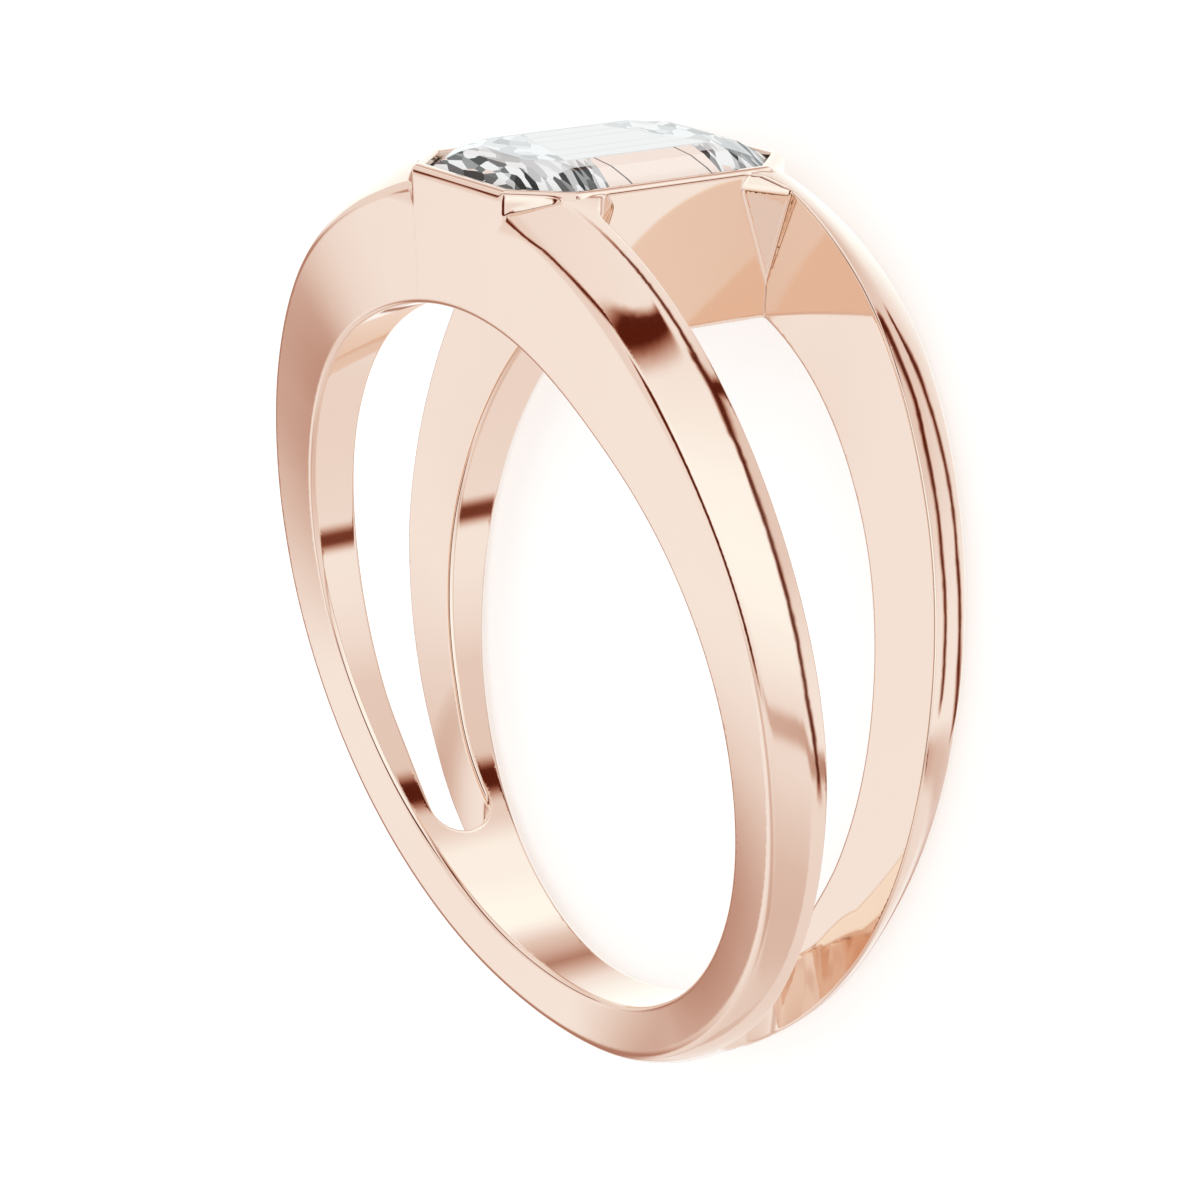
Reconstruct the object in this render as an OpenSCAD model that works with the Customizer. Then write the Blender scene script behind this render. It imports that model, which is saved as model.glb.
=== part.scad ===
/* [Finger hole] */
// Diameter of the finger hole
finger_d = 16.5; // [15:0.1:19]

/* [Band] */
// Width of the band at the palm side
band_w = 1.55; // [1.3:0.05:2.2]
// Thinnest wall of the band, from the finger hole to the edge of its side face
band_wall = 1.11; // [0.95:0.01:1.5]
// Rise of the band's outer surface from its edges to its crown
crown_rise = 0.23; // [0.1:0.01:0.4]

/* [Shoulders] */
// Wall beside the setting, from the finger hole to the edge of the side face
shoulder_wall = 2.56; // [2.2:0.01:2.8]
// Rise of the outer surface from its edge to the split, beside the setting
shoulder_rise = 0.7; // [0.4:0.01:0.9]
// Share of each shank's width that is the narrow land beside the split
land_share = 0.22; // [0.1:0.01:0.4]
// Slope of that land, as rise over width
land_slope = 0.25; // [0:0.01:0.4]
// Height that the wide flank of each shank bulges above a straight line
flank_bulge = 0.04; // [0:0.01:0.1]

/* [Split] */
// Angle from the palm side at which the split starts in the finger hole
split_start = 42; // [36:1:60]
// Width of the split beside the setting
split_w = 4.95; // [4:0.05:5.4]
// Degrees that the end of the split runs on for each millimetre outwards
split_ramp = 5.4; // [0:0.1:8]

/* [Stone] */
// Width of the stone across the finger
stone_w = 5.44; // [4.8:0.02:6]
// Length of the stone along the finger
stone_l = 6.98; // [6.4:0.02:7.6]
// Size of the cut at each corner of the stone
stone_corner = 1.03; // [0.7:0.01:1.3]
// Height of the crown, from the girdle to the table
crown_h = 0.6; // [0.4:0.01:0.9]
// Thickness of the girdle
girdle_h = 0.15; // [0.05:0.01:0.25]
// Depth of the pavilion, from the girdle to the keel
pavilion_h = 2.28; // [1.8:0.01:2.35]
// Width of the crown's steps along each side, from the girdle to the table
crown_step = 1.15; // [0.8:0.01:1.4]
// Width of the crown's steps at each end, from the girdle to the table
crown_end_step = 0.97; // [0.7:0.01:1.4]

/* [Setting] */
// Wall of the setting around the stone
bezel_wall = 0.29; // [0.2:0.01:0.6]
// Height of the rim above the finger hole
setting_h = 2.93; // [2.85:0.01:3.4]
// Width of the flat on top of the rim
rim_flat = 0.25; // [0.15:0.01:0.5]
// Chamfer around the outside of the rim
rim_chamfer = 0.07; // [0.03:0.01:0.15]
// Depth of the stone's girdle below the top of the rim
girdle_depth = 0.2; // [0.15:0.01:0.4]
// Gap all round between the stone and its seat
seat_clearance = 0.05; // [0.03:0.01:0.1]
// Width of the window under the stone, across the finger
window_w = 2; // [1:0.1:3]
// How far each side of the basket leans in between the rim and the finger hole
basket_lean = 0.16; // [0:0.01:0.4]
// Size of the gusset in each corner between the basket and a shank
gusset = 0.77; // [0.4:0.01:1]
// Depth of the gussets' tops below the rim
gusset_drop = 0.3; // [0.2:0.01:0.8]
// Width of the pocket beside each cut corner of the setting
pocket_w = 0.34; // [0.1:0.01:0.5]
// Depth of that pocket at its open end
pocket_depth = 0.2; // [0.05:0.01:0.4]

/* [Hidden] */
$fn = 180;

ROSE_GOLD = [0.93, 0.72, 0.62];
CLEAR_STONE = [0.93, 0.96, 0.98];

// Shape of the ring from the palm side, row 0, to the setting, row 6, in shares of the named sizes
// columns: half width at the finger hole, half width at the outer edge, wall, rise, split
SHAPE = [
    [0.00, 0.00, 0.085, 0.00, 0.10],
    [0.10, 0.15, 0.000, 0.25, 0.25],
    [0.30, 0.33, 0.125, 0.55, 0.35],
    [0.55, 0.56, 0.290, 0.58, 0.52],
    [0.79, 0.79, 0.580, 0.66, 0.76],
    [0.97, 0.94, 0.900, 0.97, 0.96],
    [1.00, 0.96, 1.000, 1.00, 1.02],
];
HOLE_HALF = 0;
EDGE_HALF = 1;
WALL = 2;
RISE = 3;
SPLIT = 4;
ROW_STEP = 30;
LAST_ROW = len(SHAPE) - 1;

// Steps of the stone: share of the inset, share of the height
CROWN_STEPS = [[0.22, 0.36], [0.56, 0.72], [1, 1]];
PAVILION_STEPS = [[0.22, 0.33], [0.55, 0.70], [1, 1]];
CORNER_FADE = 1.6;
KEEL_HALF = 0.02;
// How much a corner cut grows for each millimetre that its octagon grows all round
CORNER_GROWTH = 2 - sqrt(2);

SECTION_STEP = 5;
SPLIT_STEP = 6;
SPLIT_END_ARCS = 5;
THROUGH = 1;
MM_TO_DEGREES = 180 / PI;

hole_r = finger_d / 2;
stone_half_w = stone_w / 2;
stone_half_l = stone_l / 2;
set_half_w = stone_half_w + bezel_wall;
set_half_l = stone_half_l + bezel_wall;
set_corner = stone_corner + CORNER_GROWTH * bezel_wall;
rim_z = hole_r + setting_h;
rim_edge_z = rim_z - rim_chamfer;
girdle_top_z = rim_z - girdle_depth;
girdle_low_z = girdle_top_z - girdle_h;
table_z = girdle_top_z + crown_h;
keel_z = girdle_low_z - pavilion_h;
opening_inset = rim_chamfer + rim_flat;
rim_edge_angle = acos(rim_edge_z / (hole_r + shoulder_wall + shoulder_rise));

// Value between the rows of SHAPE, on a smooth curve that is level at both ends
function row_value(k, column) =
    SHAPE[k < 0 ? -k : k > LAST_ROW ? 2 * LAST_ROW - k : k][column];
function share(angle, column) =
    let (k = floor(angle / ROW_STEP), t = angle / ROW_STEP - k)
    let (a = row_value(k - 1, column), b = row_value(k, column))
    let (c = row_value(k + 1, column), d = row_value(k + 2, column))
    b + t * (c - a) / 2 + t * t * (a - 2.5 * b + 2 * c - d / 2)
    + t * t * t * (1.5 * (b - c) + (d - a) / 2);
function between(low, high, amount) = low + (high - low) * amount;

// Sizes of the ring at an angle from the palm side
function hole_half(angle) = between(band_w / 2, set_half_l, share(angle, HOLE_HALF));
function edge_half(angle) = between(band_w / 2, set_half_l, share(angle, EDGE_HALF));
function edge_r(angle) = hole_r + between(band_wall, shoulder_wall, share(angle, WALL));
function split_half(angle) = split_w / 2 * share(angle, SPLIT);
function rise(angle) = between(crown_rise, shoulder_rise, share(angle, RISE));
function under_rim(angle) = angle > 90 ? rim_edge_z / -cos(angle) : 2 * rim_z;
function split_edge_r(angle) = min(edge_r(angle) + rise(angle), under_rim(angle));
function ridge_half(angle) = between(split_half(angle), edge_half(angle), land_share);
function ridge_r(angle) =
    split_edge_r(angle) - land_slope * (ridge_half(angle) - split_half(angle));

// Point of the upright ring: angle from the palm side, radius, place along the finger
function place(angle, radius, along) = [radius * sin(angle), along, -radius * cos(angle)];

// Outer half of a section, from inside the finger hole to the crown, as [radius, half width]
function half_section(angle) =
    let (hole = hole_half(angle), edge = edge_half(angle), edge_radius = edge_r(angle))
    let (lean = (hole - edge) / (edge_radius - hole_r))
    let (ridge = ridge_half(angle), ridge_radius = min(ridge_r(angle), under_rim(angle)))
    [
        [hole_r - THROUGH, hole + lean * THROUGH],
        [min(edge_radius, under_rim(angle)), edge],
        [min((edge_radius + ridge_radius) / 2 + flank_bulge, under_rim(angle)), (edge + ridge) / 2],
        [ridge_radius, ridge],
        [split_edge_r(angle), split_half(angle)],
    ];
function section(angle) =
    let (half = half_section(angle <= 180 ? angle : 360 - angle))
    concat(
        [for (p = half) place(angle, p[0], -p[1])],
        [for (k = [len(half) - 1 : -1 : 0]) place(angle, half[k][0], half[k][1])]
    );

// Skin over a row of sections with equal numbers of points, closed on itself or with end faces
module loft(sections, closed = false) {
    n = len(sections[0]);
    rows = len(sections);
    last = closed ? rows - 1 : rows - 2;
    sides = [
        for (i = [0 : last], j = [0 : n - 1])
            let (a = i * n, b = ((i + 1) % rows) * n, k = (j + 1) % n)
            each [[a + j, b + k, a + k], [a + j, b + j, b + k]]
    ];
    ends = closed ? [] : [
        [for (j = [0 : n - 1]) j],
        [for (j = [n - 1 : -1 : 0]) (rows - 1) * n + j]
    ];
    polyhedron(points = [for (s = sections) each s], faces = concat(sides, ends));
}

// Octagon with cut corners at a height
function octagon(half_x, half_y, corner, z) = [
    [half_x, corner - half_y, z], [half_x, half_y - corner, z],
    [half_x - corner, half_y, z], [corner - half_x, half_y, z],
    [-half_x, half_y - corner, z], [-half_x, corner - half_y, z],
    [corner - half_x, -half_y, z], [half_x - corner, -half_y, z]
];
// Octagon of the stone, drawn in from its sides and from its ends
function stone_ring(inset, end_inset, z) =
    let (corner = stone_corner * pow(1 - inset / stone_half_w, CORNER_FADE))
    octagon(stone_half_w - inset, stone_half_l - end_inset, corner, z);
// Octagon of the stone's girdle, grown by a wall of even thickness
function grown_ring(wall, z) =
    octagon(stone_half_w + wall, stone_half_l + wall, stone_corner + CORNER_GROWTH * wall, z);

// The whole hoop before it is split
module hoop() {
    loft([for (angle = [0 : SECTION_STEP : 360 - SECTION_STEP]) section(angle)], closed = true);
}

// Cutter for the split on one side, with a round lower end that ramps outwards
module split_cutter() {
    end_half = split_half(split_start + ROW_STEP / 6);
    end_centre = split_start + end_half / hole_r * MM_TO_DEGREES;
    outer_r = rim_z + THROUGH;
    inner_r = hole_r - THROUGH;
    top_angle = 180 - asin(set_half_w / 2 / hole_r);
    function ramp_fade(angle) = max(0, 1 - (angle - end_centre) / (90 - end_centre));
    function slice(angle, half) =
        let (ramp = split_ramp * ramp_fade(angle))
        let (inner = angle + ramp * THROUGH, outer = angle - ramp * (outer_r - hole_r))
        [
            place(inner, inner_r, -half), place(outer, outer_r, -half),
            place(outer, outer_r, half), place(inner, inner_r, half)
        ];
    round_end = [
        for (k = [1 : SPLIT_END_ARCS])
            let (turn = 90 * k / SPLIT_END_ARCS)
            slice(end_centre - end_half * cos(turn) / hole_r * MM_TO_DEGREES, end_half * sin(turn))
    ];
    steps = ceil((top_angle - end_centre) / SPLIT_STEP);
    walls = [
        for (k = [1 : steps])
            let (angle = between(end_centre, top_angle, k / steps))
            slice(angle, max(end_half, split_half(angle)))
    ];
    loft(concat(round_end, walls));
}

// Block of the setting: rim, basket walls and front and back faces in one
module setting_block() {
    low_z = hole_r - 2 * THROUGH;
    lean_share = (rim_edge_z - low_z) / (rim_edge_z - hole_r);
    loft([
        octagon(set_half_w - basket_lean * lean_share, set_half_l, set_corner, low_z),
        octagon(set_half_w, set_half_l, set_corner, rim_edge_z),
        grown_ring(bezel_wall - rim_chamfer, rim_z)
    ]);
}

// Sloping web in one corner between the basket and a shank
module corner_gusset() {
    top_z = rim_z - gusset_drop;
    wall_x = set_half_w - basket_lean * gusset_drop / setting_h;
    shank_y = split_w / 2;
    inside = THROUGH / 2;
    foot_z = hole_r - inside;
    near = [wall_x - inside, shank_y - gusset - inside, top_z];
    far = [wall_x + gusset + inside, shank_y + inside, top_z];
    corner = [wall_x - inside, shank_y + inside, top_z];
    foot = [wall_x - basket_lean, shank_y, foot_z];
    polyhedron(points = [near, far, corner, foot], faces = [[0, 2, 1], [0, 1, 3], [1, 2, 3], [2, 0, 3]]);
}

// Cutter for the pocket between the setting's cut corner and the shoulder
module pocket_cutter() {
    front_x = set_half_w - set_corner;
    angle = 180 - atan(front_x / (hole_r + shoulder_wall));
    shoulder_z = edge_r(angle) * -cos(angle);
    apex = set_corner * 0.72;
    inside = 0.01;
    wall_front = [front_x - inside, set_half_l + inside];
    wall_apex = [front_x + apex, set_half_l - apex];
    lip = [front_x + pocket_w, set_half_l + inside];
    apex_z = between(shoulder_z, rim_edge_z, 0.7);
    top_z = rim_z + THROUGH;
    function corners(z_wall, z_apex, z_lip) = [
        [wall_front[0], wall_front[1], z_wall], [wall_apex[0], wall_apex[1], z_apex], [lip[0], lip[1], z_lip]
    ];
    loft([corners(shoulder_z - pocket_depth, apex_z, shoulder_z), corners(top_z, top_z, top_z)]);
}

// Space for the stone, its seat and the window under it
module seat_cutter() {
    window_l = window_w + stone_l - stone_w;
    window_half = window_w / 2;
    window_z = between(keel_z, girdle_low_z, window_w / stone_w);
    window = window_half + seat_clearance;
    function window_ring(z) = octagon(window, window_l / 2 + seat_clearance, window_half / 2, z);
    loft([
        window_ring(hole_r - THROUGH),
        window_ring(window_z - 2 * seat_clearance),
        grown_ring(seat_clearance, girdle_low_z - 2 * seat_clearance),
        grown_ring(seat_clearance, girdle_top_z + seat_clearance),
        grown_ring(bezel_wall - opening_inset, girdle_top_z + seat_clearance + 0.001),
        grown_ring(bezel_wall - opening_inset, rim_z + THROUGH)
    ]);
}

module both_sides() {
    children();
    mirror([1, 0, 0]) children();
}
module four_corners() {
    both_sides() children();
    mirror([0, 1, 0]) both_sides() children();
}

// The cast ring upright, with its finger hole along Y and the setting on top
module upright_mount() {
    difference() {
        union() {
            difference() {
                hoop();
                both_sides() split_cutter();
            }
            setting_block();
            intersection() {
                hoop();
                four_corners() corner_gusset();
            }
        }
        four_corners() pocket_cutter();
        rotate([90, 0, 0]) cylinder(r = hole_r, h = 2 * (set_half_l + THROUGH), center = true);
        seat_cutter();
    }
}

// The stone upright, with its table on top
module upright_stone() {
    pavilion = [
        for (k = [len(PAVILION_STEPS) - 1 : -1 : 0])
            let (step = PAVILION_STEPS[k], inset = min(step[0] * stone_half_w, stone_half_w - KEEL_HALF))
            stone_ring(inset, inset, girdle_low_z - step[1] * pavilion_h)
    ];
    crown = [
        for (step = CROWN_STEPS)
            stone_ring(step[0] * crown_step, step[0] * crown_end_step, girdle_top_z + step[1] * crown_h)
    ];
    loft(concat(pavilion, [stone_ring(0, 0, girdle_low_z), stone_ring(0, 0, girdle_top_z)], crown));
}

// The ring lies on its back side: the band's edges and the rim of the finger hole touch the floor
function reach(point, tilt) = point[0] * cos(tilt) - point[1] * sin(tilt);
function furthest(points, tilt, k = 0) =
    let (rest = k + 1 < len(points) ? furthest(points, tilt, k + 1) : points[k])
    reach(points[k], tilt) > reach(rest, tilt) ? points[k] : rest;
function tilt_over(point) = max([for (p = rim_points) atan2(p[0] - point[0], p[1] - point[1])]);
band_edges = [for (angle = [0 : SECTION_STEP : 85]) [edge_half(angle), -edge_r(angle) * cos(angle)]];
rim_points = [for (angle = [95 : SECTION_STEP : 175]) [hole_half(angle), -hole_r * cos(angle)]];
first_tilt = tilt_over(furthest(band_edges, 0));
second_tilt = tilt_over(furthest(band_edges, first_tilt));
rest_tilt = tilt_over(furthest(band_edges, second_tilt));
lift = reach(furthest(band_edges, rest_tilt), rest_tilt);
table_half_l = stone_half_l - crown_end_step;
far_end = max(
    table_half_l * sin(rest_tilt) + table_z * cos(rest_tilt),
    (set_half_l - rim_chamfer) * sin(rest_tilt) + rim_z * cos(rest_tilt)
);
near_end = max([for (p = half_section(0)) p[1] * sin(rest_tilt) + p[0] * cos(rest_tilt)]);
centring = (near_end - far_end) / 2;

module lying() {
    translate([0, centring, lift]) rotate([rest_tilt - 90, 0, 0]) children();
}

module ring_mount() {
    color(ROSE_GOLD) lying() upright_mount();
}

module emerald_cut_stone() {
    color(CLEAR_STONE) lying() upright_stone();
}

ring_mount();
emerald_cut_stone();
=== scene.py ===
import math
from collections import namedtuple

import bmesh
import bpy
import numpy as np
from mathutils import Matrix, Vector


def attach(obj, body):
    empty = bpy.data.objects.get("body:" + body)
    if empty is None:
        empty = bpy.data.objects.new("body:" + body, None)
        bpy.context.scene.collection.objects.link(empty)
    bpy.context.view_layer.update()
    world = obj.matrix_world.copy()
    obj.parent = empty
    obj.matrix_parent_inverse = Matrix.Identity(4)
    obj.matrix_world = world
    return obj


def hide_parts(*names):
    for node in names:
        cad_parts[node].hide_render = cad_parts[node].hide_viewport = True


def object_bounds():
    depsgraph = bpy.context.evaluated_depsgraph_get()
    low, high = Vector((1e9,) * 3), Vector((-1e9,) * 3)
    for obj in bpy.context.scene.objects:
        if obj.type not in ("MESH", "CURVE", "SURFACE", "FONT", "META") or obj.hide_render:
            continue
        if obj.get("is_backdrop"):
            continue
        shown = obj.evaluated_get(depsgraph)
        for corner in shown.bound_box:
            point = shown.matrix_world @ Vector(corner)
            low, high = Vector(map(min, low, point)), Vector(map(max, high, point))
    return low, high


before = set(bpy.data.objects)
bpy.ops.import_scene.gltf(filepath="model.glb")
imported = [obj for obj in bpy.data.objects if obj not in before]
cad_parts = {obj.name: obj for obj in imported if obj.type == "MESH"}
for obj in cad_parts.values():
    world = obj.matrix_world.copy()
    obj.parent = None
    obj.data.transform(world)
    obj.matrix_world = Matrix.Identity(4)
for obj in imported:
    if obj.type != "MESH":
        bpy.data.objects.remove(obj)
cad_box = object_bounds()

MM = 0.001

# Named sizes of the ring in mm and degrees, as in the CAD
FINGER_R = 8.25
BAND_W = 1.55
BAND_WALL = 1.11
CROWN_RISE = 0.23
SHOULDER_WALL = 2.56
SHOULDER_RISE = 0.7
LAND_SHARE = 0.22
LAND_SLOPE = 0.25
FLANK_BULGE = 0.04
SPLIT_START = 42.0
SPLIT_W = 4.95
SPLIT_RAMP = 5.4
STONE_HALF = (2.72, 3.49)
STONE_CORNER = 1.03
CROWN_H = 0.6
GIRDLE_H = 0.15
PAVILION_H = 2.28
CROWN_STEP = (1.15, 0.97)
BEZEL_WALL = 0.29
SETTING_H = 2.93
RIM_FLAT = 0.25
RIM_CHAMFER = 0.07
GIRDLE_DEPTH = 0.2
SEAT_GAP = 0.05
WINDOW_W = 2.0
BASKET_LEAN = 0.16
POCKET_W = 0.34
POCKET_TAPER = 0.20

# Growth of an octagon's cut corner for each mm that its sides move out
CUT_GROWTH = 2 - math.sqrt(2)

SET_HALF_W = STONE_HALF[0] + BEZEL_WALL
SET_HALF_L = STONE_HALF[1] + BEZEL_WALL
SET_CORNER = STONE_CORNER + CUT_GROWTH * BEZEL_WALL
RIM_Z = FINGER_R + SETTING_H
RIM_EDGE_Z = RIM_Z - RIM_CHAMFER
GIRDLE_TOP = RIM_Z - GIRDLE_DEPTH
GIRDLE_LOW = GIRDLE_TOP - GIRDLE_H
TABLE_Z = GIRDLE_TOP + CROWN_H
TABLE_HALF = (STONE_HALF[0] - CROWN_STEP[0], STONE_HALF[1] - CROWN_STEP[1])
KEEL_Z = GIRDLE_LOW - PAVILION_H
# Height where the setting's block and the window end, inside the finger hole
BLOCK_LOW = 5

# Shape of the hoop from the palm side to the setting, a row for each 30 degrees, as shares of the way from
# the palm side's size to the setting's: half width at the hole and at the edge, wall, rise, split
HALF_AT_HOLE, HALF_AT_EDGE, WALL, RISE, SPLIT = range(5)
SHAPE_STEP = 30
SHAPE = np.array([
    [0.00, 0.00, 0.085, 0.00, 0.10],
    [0.10, 0.15, 0.000, 0.25, 0.25],
    [0.30, 0.33, 0.125, 0.55, 0.35],
    [0.55, 0.56, 0.290, 0.58, 0.52],
    [0.79, 0.79, 0.580, 0.66, 0.76],
    [0.97, 0.94, 0.900, 0.97, 0.96],
    [1.00, 0.96, 1.000, 1.00, 1.02],
])
# Both ends go on mirrored, for the curve through the rows
SHAPE = np.vstack([SHAPE[1], SHAPE, SHAPE[-2], SHAPE[-3]])

# What the scene adds to the CAD near the setting: the side faces gain width from an angle on, at the hole and
# at the edge, and step back a little where they meet the top of the setting
GAIN_START, GAIN_SPAN = 105, 45
GAIN_AT_HOLE, GAIN_AT_EDGE = 0.09, 0.21
NOTCH = 0.10
NOTCH_START, NOTCH_SPAN = 140, 20
NOTCH_LOW, NOTCH_RISE = RIM_Z - 0.98, 0.6
# Bevel around the outside of the rim, and the pocket's floor at its open end and at its inner end
RIM_BEVEL = 0.13
POCKET_FLOOR = (RIM_Z - 0.56, RIM_Z - 0.24)
POCKET_END = 0.9
# Half the angle that the lower end of the split takes, and how much its ramp stretches that end
SPLIT_END = 5.0
RAMP_STRETCH = 0.267
# The corner where a gusset's lower facet and upper bevel meet, and the directions that the two face
GUSSET_CORNER = np.array([SET_HALF_W, 1.70, RIM_Z - 0.34])
GUSSET_FACET = np.array([0.665, -0.690, -0.285])
GUSSET_BEVEL = np.array([0.66, -0.6032, 0.4475])

# Radii of the polished edges in mm. The first two change with the angle, and with the height.
RIDGE_EDGE = ([0, 30, 60, 90, 150], [0.14, 0.12, 0.08, 0.07, 0.07])
WELD_EDGE = ([RIM_Z - 1.78, RIM_Z - 0.88, RIM_Z - 0.38], [0.004, 0.01, 0.08])
HOOP_EDGE = 0.14
SETTING_EDGE = 0.10
BEVEL_EDGE = 0.09
RIM_EDGE = 0.06
GUSSET_EDGE = 0.06
GUSSET_FOOT_EDGE = 0.05
SPLIT_EDGE = 0.07
POCKET_END_EDGE = 0.07
POCKET_EDGE = 0.05
OPENING_EDGE = 0.04
INNER_EDGE = 0.03
OPENING_CORNER = 0.02

# The metal's mesh in mm: grid step, the grid's reach in x, y and down and up in z, and triangles in a quarter
GRID_STEP = 0.08
GRID_REACH = (10.6, 4.0, -10.0, 11.5)
QUARTER_TRIANGLES = 49400
# Rounds that halve edges: degrees that the surface turns along an edge, and the shortest one to halve
HALVING = ((14, 0.05), (12, 0.03), (12, 0.018))

# The camera, fitted to the photo: its direction from the upright ring, its place in radii of the finger hole
# along its own axes, and its focal length in halves of the sensor's width
CAMERA_AZIMUTH, CAMERA_ELEVATION = 55.5345, 17.2477
CAMERA_RIGHT, CAMERA_UP, CAMERA_BACK = 0.0030, 0.1175, 11.5132
CAMERA_FOCUS = 6.9557
SENSOR_W = 36

# Steps of the stone's crown: inset across and along the finger, share of the corner that is left, height
CROWN_LEVELS = (
    (0, 0, 1, 0),
    (0.33, 0.29, 0.92, 0.25),
    (0.72, 0.62, 0.80, 0.47),
    (*CROWN_STEP, 0.66, CROWN_H),
)


def share(angle, column):
    """A column of SHAPE at an angle from the palm side, on a smooth curve through its rows."""
    k = np.clip(np.floor(angle / SHAPE_STEP), 0, 180 // SHAPE_STEP).astype(int)
    t = angle / SHAPE_STEP - k
    a, b, c, d = (SHAPE[k + i, column] for i in range(4))
    return (b + t * (c - a) / 2 + t * t * (a - 2.5 * b + 2 * c - d / 2)
            + t * t * t * (1.5 * (b - c) + (d - a) / 2))


def between(low, high, amount):
    return low + (high - low) * amount


def ease(amount):
    amount = np.clip(amount, 0, 1)
    return amount * amount * (3 - 2 * amount)


def smooth_max(a, b, k):
    h = np.maximum(k - np.abs(a - b), 0) / k
    return np.maximum(a, b) + h * h * k / 4


def smooth_min(a, b, k):
    return -smooth_max(-a, -b, k)


def round_max(a, b, radius):
    """Both half spaces, with their edge rounded to a radius."""
    inside = np.minimum(-radius, np.maximum(a, b))
    return inside + np.hypot(np.maximum(radius + a, 0), np.maximum(radius + b, 0))


def round_min(a, b, radius):
    return -round_max(-a, -b, radius)


def corner_cut(ax, ay, half_x, half_y, corner):
    return (ax + ay - (half_x + half_y - corner)) / math.sqrt(2)


def octagon(ax, ay, half_x, half_y, corner, radius):
    cut = corner_cut(ax, ay, half_x, half_y, corner)
    return round_max(round_max(ax - half_x, cut, radius), ay - half_y, radius)


def setting_side(z):
    """Half width of the setting at a height."""
    return SET_HALF_W - BASKET_LEAN * (RIM_EDGE_Z - z) / (RIM_EDGE_Z - FINGER_R)


# The fields below are signed distances in mm, negative inside, with the ring upright and its finger hole along
# Y. ax and ay are distances from the two mirror planes, and a factor near 1 keeps a slanting one near true.

def hoop_half(angle, column, gain):
    """Half width of the hoop, which stays within the setting's."""
    half = between(BAND_W / 2, SET_HALF_L, share(angle, column)) + gain * ease((angle - GAIN_START) / GAIN_SPAN)
    return np.minimum(smooth_min(half, SET_HALF_L + 0.03, 0.2), SET_HALF_L)


def hoop_field(ay, z, r, angle):
    """Side face, wide flank, narrow land, and the level top beside the setting."""
    hole = hoop_half(angle, HALF_AT_HOLE, GAIN_AT_HOLE)
    edge = hoop_half(angle, HALF_AT_EDGE, GAIN_AT_EDGE)
    edge_r = FINGER_R + between(BAND_WALL, SHOULDER_WALL, share(angle, WALL))
    split = SPLIT_W / 2 * share(angle, SPLIT)
    split_r = edge_r + between(CROWN_RISE, SHOULDER_RISE, share(angle, RISE))
    ridge = between(split, edge, LAND_SHARE)
    ridge_r = split_r - LAND_SLOPE * (ridge - split)

    half = hole + (edge - hole) * (r - FINGER_R) / (edge_r - FINGER_R)
    notch = NOTCH * ease((angle - NOTCH_START) / NOTCH_SPAN) * ease((z - NOTCH_LOW) / NOTCH_RISE)
    side = (ay - half + notch) * 0.985
    t = np.clip((edge - ay) / (edge - ridge), -1, 2)
    slope = (ridge_r - edge_r) / (edge - ridge)
    flank = r - edge_r - (ridge_r - edge_r) * t - 4 * FLANK_BULGE * t * (1 - t)
    flank = flank / np.sqrt(1 + slope ** 2)
    from_split = np.sqrt(ay ** 2 + split ** 2) - split * math.sqrt(2)
    land = (r - split_r + LAND_SLOPE * from_split) / math.sqrt(1 + LAND_SLOPE ** 2)
    outer = smooth_max(flank, land, np.interp(angle, *RIDGE_EDGE))
    outer = round_max(outer, z - RIM_EDGE_Z, INNER_EDGE)
    return round_max(side, outer, HOOP_EDGE)


def block_field(ax, ay, z):
    """Block of the setting with its bevelled rim."""
    walls = octagon(ax, ay, setting_side(z), SET_HALF_L, SET_CORNER, SETTING_EDGE)
    bevel = (walls + z - RIM_Z + RIM_BEVEL) / math.sqrt(2)
    block = round_max(round_max(walls, bevel, BEVEL_EDGE), z - RIM_Z, RIM_EDGE)
    return np.maximum(block, BLOCK_LOW - z)


def pocket_field(ax, ay, z):
    """Pocket beside each cut corner, which narrows and rises towards its inner end."""
    cut = corner_cut(ax, ay, setting_side(z), SET_HALF_L, SET_CORNER)
    across = SET_HALF_L - ay
    along = np.clip(across / (0.72 * SET_CORNER), -0.5, 1.5)
    lip = (ax - (SET_HALF_W - SET_CORNER) - across - POCKET_W + POCKET_TAPER * along) * 0.75
    floor_z = between(*POCKET_FLOOR, along)
    pocket = round_max(round_max(-cut, lip, INNER_EDGE), floor_z + 0.4 * cut - z, POCKET_EDGE)
    return round_max(pocket, (across - POCKET_END) * 0.9, POCKET_END_EDGE)


def channel_field(ax, ay, z, r, angle):
    """Split with a round lower end that ramps outwards, less the basket and the gussets beside it."""
    end_half = SPLIT_W / 2 * share(np.array([SPLIT_START + SPLIT_END]), SPLIT)[0]
    end_centre = SPLIT_START + math.degrees(end_half / FINGER_R)
    fade = np.clip(1 - (angle - end_centre) / (90 - end_centre), 0, 1.1)
    bore_angle = angle + SPLIT_RAMP * fade * (r - FINGER_R)
    s = np.radians(bore_angle - end_centre) * FINGER_R
    half = between(end_half, SPLIT_W / 2 * share(np.clip(bore_angle, 0, 180), SPLIT), ease(s / 3))
    s_low = np.minimum(s, 0)
    reach = np.hypot(s_low, ay)
    stretch = 1 + RAMP_STRETCH * (s_low / np.maximum(reach, 1e-6)) ** 2
    channel = np.where(s > 0, ay - half, (reach - end_half) / stretch)

    from_corner = np.stack([ax, ay, z], 1) - GUSSET_CORNER
    gusset = round_min(-(from_corner @ GUSSET_FACET), -(from_corner @ GUSSET_BEVEL), GUSSET_EDGE)
    return round_max(round_max(channel, setting_side(z) - ax, INNER_EDGE), gusset, GUSSET_FOOT_EDGE)


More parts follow.
